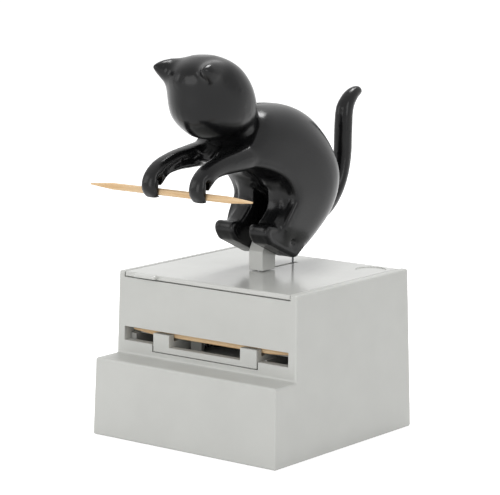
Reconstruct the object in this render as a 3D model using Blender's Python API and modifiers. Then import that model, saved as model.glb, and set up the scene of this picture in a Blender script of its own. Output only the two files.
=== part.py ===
"""Cat toothpick dispenser: a stepped box, a hinged lid, and a cat that tips forward to fetch a toothpick.

Metres, +Z up. The origin is the middle of the box's underside, -Y is the front (the side with the
slot and the step), and +X is the right-hand side seen from the front. The cat's middle plane is x = 0.
"""
import math

import bmesh
import bpy
from mathutils import Matrix, Vector

MM = 0.001
DEG = math.pi / 180

# General clearances
FIT_GAP = 0.3 * MM        # between pieces that touch
RUN_GAP = 0.05 * MM       # radial clearance of a pin in its hole
OVERRUN = 5 * MM          # how far a cutter runs past the face that it cuts
WELD = 0.001 * MM         # points closer than this become one
EDGE_ANGLE = 40 * DEG     # faces that meet at more than this show an edge
SOFT_EDGE_ANGLE = 50 * DEG
RING_SIDES = 28           # sides of a soft section
ROUND_SIDES = 24          # sides of a turned piece
SOFT_STEPS = 3            # rings between two stations of a soft shape

# Toothpicks, which set the box's width
PICK_LENGTH = 65.0 * MM
PICK_RADIUS = 1.1 * MM
PICK_POINT_LENGTH = 9.0 * MM
PICK_POINT_RADIUS = 0.3 * MM
PICK_SIDES = 8
PICK_END_GAP = 1.1 * MM

# Box
SIDE_WALL = 2.35 * MM
SIDE_DRAFT = 1.1 * MM
INSIDE_HALF_WIDTH = PICK_LENGTH / 2 + PICK_END_GAP
BOX_TOP_WIDTH = 2 * (INSIDE_HALF_WIDTH + SIDE_WALL)
BOX_BASE_WIDTH = BOX_TOP_WIDTH + 2 * SIDE_DRAFT
STEP_HEIGHT = 25.3 * MM
FACE_HEIGHT = 26.8 * MM   # of the upper front, above the step
BOX_HEIGHT = STEP_HEIGHT + FACE_HEIGHT
FACE_DRAFT = 0.9 * MM
STEP_REACH = 10.1 * MM
STEP_DRAFT = 1.2 * MM
FACE_TOP_Y = -24.0 * MM
FACE_LOW_Y = FACE_TOP_Y - FACE_DRAFT
FRONT_STEP_Y = FACE_LOW_Y - STEP_REACH
FRONT_BASE_Y = FRONT_STEP_Y - STEP_DRAFT
BACK_TOP_Y = 35.5 * MM
BACK_BASE_Y = BACK_TOP_Y + FACE_DRAFT
BOX_EDGE_RADIUS = 0.7 * MM
FRONT_WALL = 2.2 * MM
STEP_WALL = 2.2 * MM
BACK_WALL = 1.9 * MM
BACK_GATE_DEPTH = 4.0 * MM

# Front slot and the notch below it
SILL_RISE = 4.4 * MM
NOTCH_RISE = 1.9 * MM
SLOT_SILL = STEP_HEIGHT + SILL_RISE
SLOT_HEIGHT = 4.55 * MM
SLOT_TOP = SLOT_SILL + SLOT_HEIGHT
NOTCH_BOTTOM = STEP_HEIGHT + NOTCH_RISE

# Bottom plate
PLATE_THICK = 2.0 * MM
SCREW_HEAD_RADIUS = 2.2 * MM
SCREW_HEAD_HEIGHT = 1.1 * MM
SCREW_RADIUS = 1.0 * MM
SCREW_LENGTH = 7.5 * MM
BOSS_RADIUS = 3.0 * MM
BOSS_HEIGHT = 9.0 * MM
BOSS_INSET = 5.6 * MM
BOSS_X = INSIDE_HALF_WIDTH - BOSS_INSET
BOSS_FRONT_INSET = 6.5 * MM
BOSS_BACK_INSET = 7.0 * MM
BOSS_FRONT_Y = FRONT_STEP_Y + BOSS_FRONT_INSET
BOSS_BACK_Y = BACK_TOP_Y - BOSS_BACK_INSET

# Stack of toothpicks, in columns up a sloping floor and rows that lean forward
FIRST_PICK_INSET = 3.2 * MM
FIRST_PICK_Y = FACE_TOP_Y + FIRST_PICK_INSET
STACK_COLUMNS = 6
STACK_ROWS = 3
FLOOR_ANGLE = 25 * DEG
ROW_ANGLE = FLOOR_ANGLE + 60 * DEG
PICK_PITCH = 2 * PICK_RADIUS + FIT_GAP
STACK_DEPTH = PICK_PITCH * (
    (STACK_COLUMNS - 1) * math.cos(FLOOR_ANGLE) + (STACK_ROWS - 1) * math.cos(ROW_ANGLE))

# Shuttle that carries one toothpick out over the step
SHUTTLE_TRAVEL = 10.9 * MM
SHUTTLE_OUTER = 21.0 * MM
SHUTTLE_INNER = 14.5 * MM
SHUTTLE_BOTTOM = NOTCH_BOTTOM + FIT_GAP
SHUTTLE_BAR_TOP = SLOT_SILL - FIT_GAP
SHUTTLE_HORN_GAP = 0.85 * MM
SHUTTLE_HORN_HEIGHT = 1.9 * MM
SHUTTLE_HORN_TOP = SLOT_TOP - SHUTTLE_HORN_GAP
SHUTTLE_ARM_TOP = SHUTTLE_HORN_TOP - SHUTTLE_HORN_HEIGHT
SHUTTLE_HORN_DEPTH = 2.5 * MM
SHUTTLE_BEAM_THICK = 2.5 * MM
SHUTTLE_BEAM_DEPTH = 10.0 * MM
SHUTTLE_BEAM_TOP = SHUTTLE_BOTTOM + SHUTTLE_BEAM_THICK
SHUTTLE_BEAM_START = 6.0 * MM
SHUTTLE_ARM_END = SHUTTLE_BEAM_START + SHUTTLE_BEAM_DEPTH
CRADLE_DEPTH = 0.4 * MM
CRADLE_HALF = 1.1 * MM
CAM_RIB_INNER = 4.3 * MM
CAM_RIB_OUTER = 7.2 * MM
CAM_RIB_BACK_MARGIN = 1.5 * MM
CAM_RIB_WALL = 1.2 * MM
CAM_STEPS = 8
NOTCH_HALF_WIDTH = SHUTTLE_OUTER + 2 * FIT_GAP

# Magazine tray inside the box
TRAY_WALL = 1.2 * MM
TRAY_TOP_DROP = 3.5 * MM
TRAY_FLOOR_INSET = 1.6 * MM
TRAY_BACK_Y = FIRST_PICK_Y + STACK_DEPTH + PICK_RADIUS + FIT_GAP
TRAY_BACK_TOP = BOX_HEIGHT - TRAY_TOP_DROP
TRAY_FLOOR_START = FIRST_PICK_Y + TRAY_FLOOR_INSET
TRAY_CHEEK = 2.3 * MM
TRAY_SHELF_TOP = SHUTTLE_BOTTOM - FIT_GAP
TRAY_SHELF_THICK = 2.0 * MM
TRAY_REAR_Y = 24.0 * MM
TRAY_CHEEK_TAIL = 11.6 * MM
TRAY_CHEEK_REAR_Y = TRAY_BACK_Y + TRAY_CHEEK_TAIL
TRAY_ARM_WAY = 5.8 * MM
TRAY_SLOT_END = FIRST_PICK_Y + TRAY_ARM_WAY
TRAY_SCREW_INSET = 0.4 * MM
TRAY_SCREW_Y = TRAY_BACK_Y - TRAY_SCREW_INSET

# Lid
LID_HALF_WIDTH = INSIDE_HALF_WIDTH - FIT_GAP
LID_THICK = 1.6 * MM
HINGE_Y = BACK_TOP_Y - BACK_WALL
BARREL_RADIUS = 1.8 * MM
HINGE_Z = BOX_HEIGHT - BARREL_RADIUS - 2 * RUN_GAP
HINGE_PIN_RADIUS = 0.75 * MM
HINGE_PIN_SEAT = 1.8 * MM
HINGE_PIN_HALF = INSIDE_HALF_WIDTH + HINGE_PIN_SEAT
TAB_WIDTH = 9.1 * MM
TAB_INSET = 4.7 * MM
TAB_LEFT = TAB_INSET - LID_HALF_WIDTH
TAB_RIGHT = TAB_LEFT + TAB_WIDTH
TAB_REACH = 1.8 * MM
LID_MARK_RADIUS = 5.0 * MM
LID_MARK_DEPTH = 0.25 * MM
LID_MARK_SIDE = 1.3 * MM
LID_MARK_BACK = 1.6 * MM
LID_MARK_X = LID_HALF_WIDTH - LID_MARK_RADIUS - LID_MARK_SIDE
LID_MARK_Y = HINGE_Y - LID_MARK_RADIUS - LID_MARK_BACK
SLIT_HALF = 0.75 * MM

# Post that carries the cat
PIVOT_Y = 7.0 * MM
PIVOT_RISE = 10.1 * MM
PIVOT_Z = BOX_HEIGHT + PIVOT_RISE
POST_HALF = 2.8 * MM
POST_FRONT_REACH = 5.6 * MM
POST_BACK_REACH = 1.1 * MM
POST_FRONT_Y = PIVOT_Y - POST_FRONT_REACH
POST_BACK_Y = PIVOT_Y + POST_BACK_REACH
POST_SHOULDER = 3.6 * MM
POST_ROUND = 0.4 * MM
EAR_RADIUS = 3.1 * MM
PIVOT_PIN_RADIUS = 1.2 * MM
POST_SCREW_RADIUS = 0.7 * MM
POST_SCREW_HEAD = 1.4 * MM
POST_SCREW_LENGTH = 5.5 * MM
POST_SCREW_INSET = 1.7 * MM

# Rocker under the lid
ROCKER_TURN = 80 * DEG
ROCKER_SETBACK = 5.6 * MM
ROCKER_DROP = 11.9 * MM
ROCKER_Y = PIVOT_Y + ROCKER_SETBACK
ROCKER_Z = BOX_HEIGHT - ROCKER_DROP
ROCKER_BACK_ARM = 10.3 * MM
ROCKER_BACK_START = -30 * DEG
ROCKER_FRONT_ARM = 8.0 * MM
ROCKER_FRONT_START = 150 * DEG
ROCKER_HUB_RADIUS = 2.2 * MM
ROCKER_HUB_HALF = 8.4 * MM
ROCKER_EYE_RADIUS = 2.1 * MM
ROCKER_ARM_NEAR = 0.7 * MM
ROCKER_ARM_FAR = 3.1 * MM
ROCKER_TIP_RADIUS = 1.0 * MM
FORK_INNER = 4.6 * MM
FORK_OUTER = 6.9 * MM
AXLE_RADIUS = 1.0 * MM
CLIP_RADIUS = 1.9 * MM
CLIP_THICK = 0.6 * MM
BRACKET_GAP = 0.4 * MM
BRACKET_THICK = 2.0 * MM
BRACKET_INNER = ROCKER_HUB_HALF + BRACKET_GAP
BRACKET_OUTER = BRACKET_INNER + BRACKET_THICK
AXLE_END = 1.4 * MM
AXLE_HALF = BRACKET_OUTER + AXLE_END
BRACKET_EAR = 2.6 * MM
BRACKET_TOP_HALF = 4.5 * MM
SLIT_REACH = 1.4 * MM
SLIT_FRONT_Y = ROCKER_Y - SLIT_REACH
SLIT_BACK_Y = ROCKER_Y + ROCKER_BACK_ARM + FIT_GAP

# Springs
TORSION_WIRE = 0.3 * MM
TORSION_RADIUS = 2.9 * MM
TORSION_TURNS = 3
TORSION_START = 1.7 * MM
TORSION_END = 4.2 * MM
TORSION_LEG = 6.5 * MM
SPRING_WIRE = 0.25 * MM
SPRING_RADIUS = 1.6 * MM
SPRING_TURNS = 7
SPRING_X = 10.9 * MM
SPRING_STOP_SETBACK = 0.7 * MM
SPRING_STOP_Y = TRAY_SLOT_END + SPRING_STOP_SETBACK
SPRING_STOP_HALF = 2.2 * MM
SPRING_STOP_HEIGHT = 4.2 * MM
SPRING_SIDES = 8

# Cat, whose tables hold hundredths of its size, measured from the pivot
CAT_SIZE = 100 * MM
SEAM_HALF = 0.15 * MM
LEG_INNER = POST_HALF + FIT_GAP
LEG_OUTER_SHARE = 0.108
THIGH_OUTER_SHARE = 0.094
LEG_OUTER = LEG_OUTER_SHARE * CAT_SIZE
THIGH_OUTER = THIGH_OUTER_SHARE * CAT_SIZE
LEG_ROUND = 0.9 * MM
PIN_RECESS = 3.3 * MM
PIVOT_PIN_HALF = LEG_OUTER - PIN_RECESS
HELD_PICK_X = -3.4 * MM
HELD_PICK_SHARES = (-0.439, 0.195)
HELD_PICK_Y = PIVOT_Y + HELD_PICK_SHARES[0] * CAT_SIZE
HELD_PICK_Z = PIVOT_Z + HELD_PICK_SHARES[1] * CAT_SIZE
PICK_SEAT = 0.15 * MM
PAW_SLOT_HEIGHT = 5.3 * MM
PAW_SLOT_SLACK = 0.25 * MM
PAW_SLOT_BACK = PICK_RADIUS + PAW_SLOT_SLACK
PAW_THROAT_HEIGHT = 2.5 * MM

# Wire from the cat to the rocker
WIRE_RADIUS = 0.4 * MM
WIRE_HOLE_RADIUS = 1.2 * MM
WIRE_TOP_SHARES = (0.138, -0.008)
WIRE_TOP_Y = PIVOT_Y + WIRE_TOP_SHARES[0] * CAT_SIZE
WIRE_TOP_Z = PIVOT_Z + WIRE_TOP_SHARES[1] * CAT_SIZE
WIRE_HOOK = 2.4 * MM
WIRE_BEND = LEG_INNER + WIRE_HOOK


def collection(name):
    group = bpy.data.collections.new(name)
    bpy.context.scene.collection.children.link(group)
    return group


for old in list(bpy.data.objects):
    bpy.data.objects.remove(old, do_unlink=True)
PARTS = collection("toothpick_dispenser")
CUTTERS = collection("cutters")


# Materials
def material(name, colour, roughness, metallic=0.0):
    made = bpy.data.materials.new(name)
    made.use_nodes = True
    shader = made.node_tree.nodes["Principled BSDF"]
    shader.inputs["Base Color"].default_value = (*colour, 1)
    shader.inputs["Roughness"].default_value = roughness
    shader.inputs["Metallic"].default_value = metallic
    return made


WARM_GREY = (0.62, 0.62, 0.58)
BLACK = (0.018, 0.018, 0.02)
WOOD = (0.74, 0.5, 0.25)
STEEL = (0.5, 0.5, 0.52)
DARK_STEEL = (0.06, 0.06, 0.065)
MID_GREY = (0.45, 0.45, 0.44)


# Shapes
def add_mesh(name, builder, group=PARTS):
    """A new object whose mesh is filled by builder(bm)."""
    mesh = bpy.data.meshes.new(name)
    bm = bmesh.new()
    builder(bm)
    bmesh.ops.recalc_face_normals(bm, faces=bm.faces)
    bm.to_mesh(mesh)
    bm.free()
    made = bpy.data.objects.new(name, mesh)
    group.objects.link(made)
    return made


def box(name, x, y, z, group=PARTS):
    """A box from three (low, high) pairs."""
    def build(bm):
        bmesh.ops.create_cube(bm, size=1)
        size = Vector((x[1] - x[0], y[1] - y[0], z[1] - z[0]))
        middle = Vector((x[0] + x[1], y[0] + y[1], z[0] + z[1])) / 2
        place = Matrix.Translation(middle) @ Matrix.Diagonal((*size, 1))
        bmesh.ops.transform(bm, matrix=place, verts=bm.verts)
    return add_mesh(name, build, group)


def rod(name, start, end, radius, sides=ROUND_SIDES, group=PARTS, end_radius=None):
    """A cylinder, or a cone, between two points."""
    start, end = Vector(start), Vector(end)
    axis = end - start

    def build(bm):
        bmesh.ops.create_cone(bm, cap_ends=True, segments=sides, radius1=radius,
                              radius2=radius if end_radius is None else end_radius, depth=axis.length)
        turn = Vector((0, 0, 1)).rotation_difference(axis).to_matrix().to_4x4()
        bmesh.ops.transform(bm, matrix=Matrix.Translation((start + end) / 2) @ turn, verts=bm.verts)
    made = add_mesh(name, build, group)
    made.data.shade_smooth()
    made.data.set_sharp_from_angle(angle=EDGE_ANGLE)
    return made


def plate(name, outline, x, group=PARTS):
    """A flat outline of (y, z) points, given thickness from x[0] to x[1]."""
    curve = bpy.data.curves.new(name, "CURVE")
    curve.dimensions = "2D"
    curve.fill_mode = "BOTH"
    curve.extrude = (x[1] - x[0]) / 2
    spline = curve.splines.new("POLY")
    spline.points.add(len(outline) - 1)
    for point, (y, z) in zip(spline.points, outline):
        point.co = (y, z, 0, 1)
    spline.use_cyclic_u = True
    flat = bpy.data.objects.new(name + "_outline", curve)
    PARTS.objects.link(flat)
    stand = Matrix(((0, 0, 1, (x[0] + x[1]) / 2), (1, 0, 0, 0), (0, 1, 0, 0), (0, 0, 0, 1)))
    mesh = bpy.data.meshes.new_from_object(flat.evaluated_get(bpy.context.evaluated_depsgraph_get()))
    bpy.data.objects.remove(flat, do_unlink=True)

    def build(bm):
        bm.from_mesh(mesh)
        bmesh.ops.remove_doubles(bm, verts=bm.verts, dist=WELD)
        bmesh.ops.transform(bm, matrix=stand, verts=bm.verts)
    return add_mesh(name, build, group)


def loft(name, rings, group=PARTS):
    """A closed skin over rings of points, with a flat cap at each end."""
    def build(bm):
        loops = [[bm.verts.new(point) for point in ring] for ring in rings]
        for low, high in zip(loops, loops[1:]):
            for i, vert in enumerate(low):
                after = (i + 1) % len(low)
                bm.faces.new((vert, low[after], high[after], high[i]))
        bm.faces.new(reversed(loops[0]))
        bm.faces.new(loops[-1])
    made = add_mesh(name, build, group)
    made.data.shade_smooth()
    made.data.set_sharp_from_angle(angle=SOFT_EDGE_ANGLE)
    return made


def tube(name, points, radius, resolution=2, group=PARTS):
    """A round wire along points, made a closed mesh."""
    curve = bpy.data.curves.new(name, "CURVE")
    curve.dimensions = "3D"
    curve.bevel_depth = radius
    curve.bevel_resolution = resolution
    curve.use_fill_caps = True
    spline = curve.splines.new("POLY")
    spline.points.add(len(points) - 1)
    for point, place in zip(spline.points, points):
        point.co = (*place, 1)
    wire = bpy.data.objects.new(name + "_path", curve)
    PARTS.objects.link(wire)
    mesh = bpy.data.meshes.new_from_object(wire.evaluated_get(bpy.context.evaluated_depsgraph_get()))
    bpy.data.objects.remove(wire, do_unlink=True)

    def build(bm):
        bm.from_mesh(mesh)
        bmesh.ops.remove_doubles(bm, verts=bm.verts, dist=WELD)
    made = add_mesh(name, build, group)
    made.data.shade_smooth()
    return made


def combine(target, other, operation):
    """A Boolean on target, with the other object put away among the cutters."""
    step = target.modifiers.new(operation.lower(), "BOOLEAN")
    step.operation = operation
    step.object = other
    step.solver = "EXACT"
    for group in list(other.users_collection):
        group.objects.unlink(other)
    CUTTERS.objects.link(other)
    other.hide_render = True
    other.display_type = "WIRE"
    return target


def cut(target, *others):
    for other in others:
        combine(target, other, "DIFFERENCE")
    return target


def join(target, *others):
    for other in others:
        combine(target, other, "UNION")
    return target


def rounded(target, width, segments=2):
    """Rounded edges, wherever an edge shows."""
    step = target.modifiers.new("rounded", "BEVEL")
    step.width = width
    step.segments = segments
    step.limit_method = "ANGLE"
    step.angle_limit = EDGE_ANGLE
    target.modifiers.new("flat_faces", "TRIANGULATE")
    return target


def settled(target):
    """The object with its modifiers worked into its mesh."""
    mesh = bpy.data.meshes.new_from_object(target.evaluated_get(bpy.context.evaluated_depsgraph_get()))
    target.modifiers.clear()
    target.data = mesh
    return target


def mirrored(source, name, group=PARTS):
    """A settled copy of a piece, reflected in the plane x = 0."""
    mesh = source.data

    def build(bm):
        bm.from_mesh(mesh)
        bmesh.ops.scale(bm, vec=(-1, 1, 1), verts=bm.verts)
        bmesh.ops.reverse_faces(bm, faces=bm.faces)
    made = add_mesh(name, build, group)
    made.data.shade_smooth()
    made.data.set_sharp_from_angle(angle=SOFT_EDGE_ANGLE)
    return made


def finished(piece, finish):
    """The piece with its material."""
    piece.data.materials.append(finish)
    return piece


def joint_axis(name, place, parent=None):
    """An empty on a joint's axis, for the pieces that move about it."""
    made = bpy.data.objects.new(name, None)
    PARTS.objects.link(made)
    made.empty_display_size = OVERRUN
    made.location = place
    if parent:
        made.parent = parent
        made.location -= world_place(parent)
    return made


def world_place(item):
    place = item.location.copy()
    while item.parent:
        item = item.parent
        place += item.location
    return place


def carried(parent, *names):
    """Hang pieces, modelled in place, on the empty that lies on their joint's axis."""
    for name in names:
        piece = PARTS.objects[name]
        piece.parent = parent
        piece.location = -world_place(parent)


# Soft sections of the cat
def between(a, b, c, d, t):
    """Catmull-Rom value at share t of the way from b to c."""
    bend = 2 * a - 5 * b + 4 * c - d
    twist = 3 * b - a - 3 * c + d
    return (2 * b + (c - a) * t + bend * t * t + twist * t ** 3) / 2


def smooth_stations(stations, steps=SOFT_STEPS):
    """Points between the stations, on a Catmull-Rom curve through them."""
    ends = [stations[0]] + list(stations) + [stations[-1]]
    path = []
    for four in zip(ends, ends[1:], ends[2:], ends[3:]):
        for i in range(steps):
            path.append(tuple(between(*values, i / steps) for values in zip(*four)))
    path.append(tuple(stations[-1]))
    return path


def soft_rings(stations, powers=(2.2, 2.2), grow=0.0, steps=SOFT_STEPS, points=RING_SIDES):
    """Rings from stations (outer y, outer z, inner y, inner z, half width, middle x), in hundredths.

    A ring is round where its power is 2 and squarer above it, with a power each for its outer and inner side.
    """
    unit = CAT_SIZE / 100
    pivot = Vector((0, PIVOT_Y, PIVOT_Z))
    rings = []
    for oy, oz, iy, iz, half, mid in smooth_stations(stations, steps):
        outer, inner = pivot + Vector((0, oy, oz)) * unit, pivot + Vector((0, iy, iz)) * unit
        middle = (outer + inner) / 2 + Vector((mid * unit, 0, 0))
        depth = (outer - inner) / 2
        reach = depth.length + grow
        depth = depth.normalized()
        ring = []
        for i in range(points):
            turn = 2 * math.pi * i / points
            share = 2 / (powers[0] if math.sin(turn) > 0 else powers[1])
            across = math.copysign(abs(math.cos(turn)) ** share, math.cos(turn)) * (half * unit + grow)
            along = math.copysign(abs(math.sin(turn)) ** share, math.sin(turn)) * reach
            ring.append(middle + depth * along + Vector((across, 0, 0)))
        rings.append(ring)
    return rings


TORSO_SHARES = (
    (10.5, -4.9, 0, -4.9, 8, 0), (14.5, -2.2, -2.8, -1.7, 10.2, 0), (21, 2, -6.2, 4, 12, 0),
    (27, 7.3, -4.4, 8.5, 12.8, 0), (30.2, 13.8, -1.3, 13.4, 13.3, 0), (31.2, 20.3, -3, 18, 13.3, 0),
    (28.5, 26.8, -7, 21.6, 13.2, 0), (23.7, 33.1, -13, 24.2, 13, 0), (16.8, 38.8, -19, 25.8, 12.8, 0),
    (8.5, 42.4, -24, 26.6, 12.5, 0), (0, 43.8, -27.5, 27.8, 12, 0), (-8, 44, -24, 31.2, 11, 0),
    (-13, 43, -18.5, 35.6, 8.8, 0),
)
HEAD_SHARES = (
    (-21.6, 35.2, -29, 34.8, 3, 0), (-18, 36, -34.2, 35.9, 6.7, 0), (-13.6, 38.2, -38, 38.3, 9.7, 0),
    (-11.9, 41.4, -41.2, 41.6, 12.2, 0), (-12.4, 44.8, -42.4, 44.8, 13, 0),
    (-14.4, 49.8, -42.8, 49.8, 13.2, 0), (-17, 53.8, -43.4, 53.8, 12.6, 0),
    (-20.4, 57.3, -42.2, 57.1, 11, 0), (-24.8, 59.8, -39, 59.4, 8.2, 0), (-28.5, 61.2, -34.5, 61, 3.6, 0),
)
EAR_SHARES = (
    (-28, 59.6, -34.5, 50.6, 4.6, 6.2), (-35.5, 60.2, -38.8, 52, 3.9, 7.4), (-40.2, 59.6, -41.6, 55.2, 2.3, 8.8),
    (-43.4, 58.4, -43.7, 57.7, 0.5, 9.7),
)
ARM_SHARES = (
    (-8, 33.2, -8, 27.4, 3, 7.8), (-20, 33.1, -20, 25.4, 3.8, 8.8), (-29, 32, -27.5, 25.1, 3.5, 9.2),
    (-36, 30.8, -33.3, 25, 3.1, 9.4), (-42.4, 28.7, -37.8, 24.5, 3, 9.5),
    (-46.6, 25.4, -40.6, 23.1, 3, 9.5), (-48, 22, -41.9, 21.7, 3, 9.5), (-47.5, 19.5, -42, 20, 3, 9.5),
    (-45.7, 17.6, -42.9, 18.1, 2.5, 9.5),
)
ARM_POCKET_SHARES = (
    (-22, 31.8, -21.6, 27.8, 0.9, 6.2), (-29, 30.2, -27.8, 26.8, 1.3, 6.2),
    (-35.6, 28.8, -34, 26.8, 1.3, 6.4), (-41.4, 26.7, -39, 24.6, 1.2, 6.5),
    (-43.4, 24.8, -41.8, 23.8, 0.9, 6.5),
)
TAIL_SHARES = (
    (23, 1.3, 21, 6.8, 2.9, 0), (29.5, 2.4, 27, 8, 3, 0), (36.2, 6.6, 32, 11, 3, 0),
    (41.2, 13.4, 36.2, 15.6, 3, 0), (44, 21.8, 38.2, 22.8, 3, 0), (44.5, 30.8, 38.6, 30.8, 3, 0),
    (45.2, 37.4, 39.6, 39, 2.8, 0), (47.6, 40.8, 44, 43.7, 2.3, 0), (50, 42.2, 48.6, 45.2, 1.7, 0),
    (51.2, 42.8, 50.4, 44.6, 0.9, 0),
)
LEG_OUTLINE_SHARES = (
    (-11.6, 0.5), (-13.1, 2.7), (-13.5, 4), (-13.2, 5.6), (-12, 6.5), (-8, 5.7), (-4, 5.4), (0, 7.2),
    (6, 3.8), (7, -2.2), (2.5, -5.3), (1.2, -5.5),
)
THIGH_OUTLINE_SHARES = (
    (-10, 5), (-8.4, 6.4), (-6.4, 8), (-4.1, 10.2), (-3.2, 12.8), (-3.3, 15.8), (-4.8, 19.4), (1, 21.8),
    (9, 17.8), (9, 3.8),
)
CROTCH_OUTLINE_SHARES = (
    (-19, -12.2), (-19, 19.8), (-4, 17.8), (2, 14.8), (8, 8.8), (17, -0.2), (17, -12.2),
)


def cat_points(shares):
    return [(PIVOT_Y + y * CAT_SIZE / 100, PIVOT_Z + z * CAT_SIZE / 100) for y, z in shares]


# Box shell
def make_housing(finish):
    outline = ((FRONT_BASE_Y, 0), (BACK_BASE_Y, 0), (BACK_TOP_Y, BOX_HEIGHT), (FACE_TOP_Y, BOX_HEIGHT),
               (FACE_LOW_Y, STEP_HEIGHT), (FRONT_STEP_Y, STEP_HEIGHT))
    shell = plate("housing", outline, (-BOX_BASE_WIDTH / 2, BOX_BASE_WIDTH / 2))
    for vert in shell.data.vertices:
        vert.co.x -= math.copysign(SIDE_DRAFT * vert.co.z / BOX_HEIGHT, vert.co.x)
    rounded(shell, BOX_EDGE_RADIUS)
    inner_front = FACE_TOP_Y + FRONT_WALL
    hollow = ((FRONT_STEP_Y + STEP_WALL, -OVERRUN), (BACK_TOP_Y - BACK_WALL, -OVERRUN),
              (BACK_TOP_Y - BACK_WALL, BOX_HEIGHT + OVERRUN), (inner_front, BOX_HEIGHT + OVERRUN),
              (inner_front, STEP_HEIGHT - STEP_WALL), (FRONT_STEP_Y + STEP_WALL, STEP_HEIGHT - STEP_WALL))
    cut(shell, plate("hollow", hollow, (-INSIDE_HALF_WIDTH, INSIDE_HALF_WIDTH)))
    cut(shell, box("back_gate", (-INSIDE_HALF_WIDTH, INSIDE_HALF_WIDTH),
                   (BACK_TOP_Y - BACK_WALL - OVERRUN, BACK_TOP_Y + OVERRUN),
                   (BOX_HEIGHT - BACK_GATE_DEPTH, BOX_HEIGHT + OVERRUN)))
    lid_bottom = BOX_HEIGHT - LID_THICK - FIT_GAP
    cut(shell, box("front_gate", (-INSIDE_HALF_WIDTH, INSIDE_HALF_WIDTH),
                   (FACE_LOW_Y - OVERRUN, inner_front + OVERRUN), (lid_bottom, BOX_HEIGHT + OVERRUN)))
    cut(shell, box("slot", (-INSIDE_HALF_WIDTH + FIT_GAP, INSIDE_HALF_WIDTH - FIT_GAP),
                   (FACE_LOW_Y - OVERRUN, inner_front + OVERRUN / 2), (SLOT_SILL, SLOT_TOP)))
    cut(shell, box("notch", (-NOTCH_HALF_WIDTH, NOTCH_HALF_WIDTH),
                   (FACE_LOW_Y - OVERRUN, inner_front + OVERRUN / 2), (NOTCH_BOTTOM, SLOT_SILL + FIT_GAP)))
    for x in (-BOSS_X, BOSS_X):
        for y, reach in ((BOSS_FRONT_Y, -OVERRUN), (BOSS_BACK_Y, OVERRUN)):
            boss = rod("boss", (x, y, PLATE_THICK + FIT_GAP), (x, y, PLATE_THICK + BOSS_HEIGHT), BOSS_RADIUS)
            wall_x = math.copysign(INSIDE_HALF_WIDTH + FIT_GAP, x)
            web = box("boss_web", sorted((x, wall_x)), (y - BOSS_RADIUS / 3, y + BOSS_RADIUS / 3),
                      (PLATE_THICK + FIT_GAP, PLATE_THICK + BOSS_HEIGHT))
            join(shell, boss, web)
            cut(shell, rod("boss_bore", (x, y, 0), (x, y, PLATE_THICK + SCREW_LENGTH),
                           SCREW_RADIUS + RUN_GAP, 16))
    cut(shell, rod("hinge_bore", (-HINGE_PIN_HALF - FIT_GAP, HINGE_Y, HINGE_Z),
                   (HINGE_PIN_HALF + FIT_GAP, HINGE_Y, HINGE_Z), HINGE_PIN_RADIUS + RUN_GAP))
    shell.data.materials.append(finish)
    return settled(shell)


def screw(name, place, radius, length, head_radius, head_height, direction=(0, 0, 1)):
    """A pan-head screw whose head starts at place and whose shank runs along direction."""
    place, direction = Vector(place), Vector(direction)
    shank = rod(name, place, place + direction * length, radius, 12)
    head = rod(name + "_head", place, place + direction * head_height, head_radius, 16)
    join(shank, head)
    return settled(shank)


def make_base(grey, steel):
    front = FRONT_STEP_Y + STEP_WALL + FIT_GAP
    back = BACK_TOP_Y - BACK_WALL - FIT_GAP
    half = INSIDE_HALF_WIDTH - FIT_GAP
    bottom = box("bottom_plate", (-half, half), (front, back), (0, PLATE_THICK))
    places = [(x, y) for x in (-BOSS_X, BOSS_X) for y in (BOSS_FRONT_Y, BOSS_BACK_Y)]
    cheek_x = INSIDE_HALF_WIDTH - FIT_GAP - TRAY_CHEEK / 2
    tray_places = [(x, TRAY_SCREW_Y) for x in (-cheek_x + TRAY_CHEEK, cheek_x - TRAY_CHEEK)]
    for x, y in places + tray_places:
        cut(bottom, rod("sink", (x, y, -OVERRUN), (x, y, SCREW_HEAD_HEIGHT + FIT_GAP),
                        SCREW_HEAD_RADIUS + FIT_GAP, 20))
        cut(bottom, rod("bore", (x, y, 0), (x, y, PLATE_THICK + OVERRUN), SCREW_RADIUS + FIT_GAP, 16))
    bottom.data.materials.append(grey)
    settled(bottom)
    for kind, spots in (("base_screw", places), ("magazine_screw", tray_places)):
        for number, (x, y) in enumerate(spots, 1):
            finished(screw(f"{kind}_{number}", (x, y, FIT_GAP), SCREW_RADIUS, SCREW_LENGTH,
                           SCREW_HEAD_RADIUS, SCREW_HEAD_HEIGHT), steel)
    return tray_places


# Magazine and its toothpicks
def pick_centre(column, row):
    """Centre of a stacked toothpick: columns climb the floor, rows lie on each other."""
    first_z = SHUTTLE_ARM_TOP + FIT_GAP + PICK_RADIUS
    y = FIRST_PICK_Y + PICK_PITCH * (column * math.cos(FLOOR_ANGLE) + row * math.cos(ROW_ANGLE))
    z = first_z + PICK_PITCH * (column * math.sin(FLOOR_ANGLE) + row * math.sin(ROW_ANGLE))
    return y, z


def floor_top(y):
    first_z = SHUTTLE_ARM_TOP + FIT_GAP + PICK_RADIUS
    line = first_z + math.tan(FLOOR_ANGLE) * (y - FIRST_PICK_Y)
    return line - (PICK_RADIUS + FIT_GAP) / math.cos(FLOOR_ANGLE)


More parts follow.
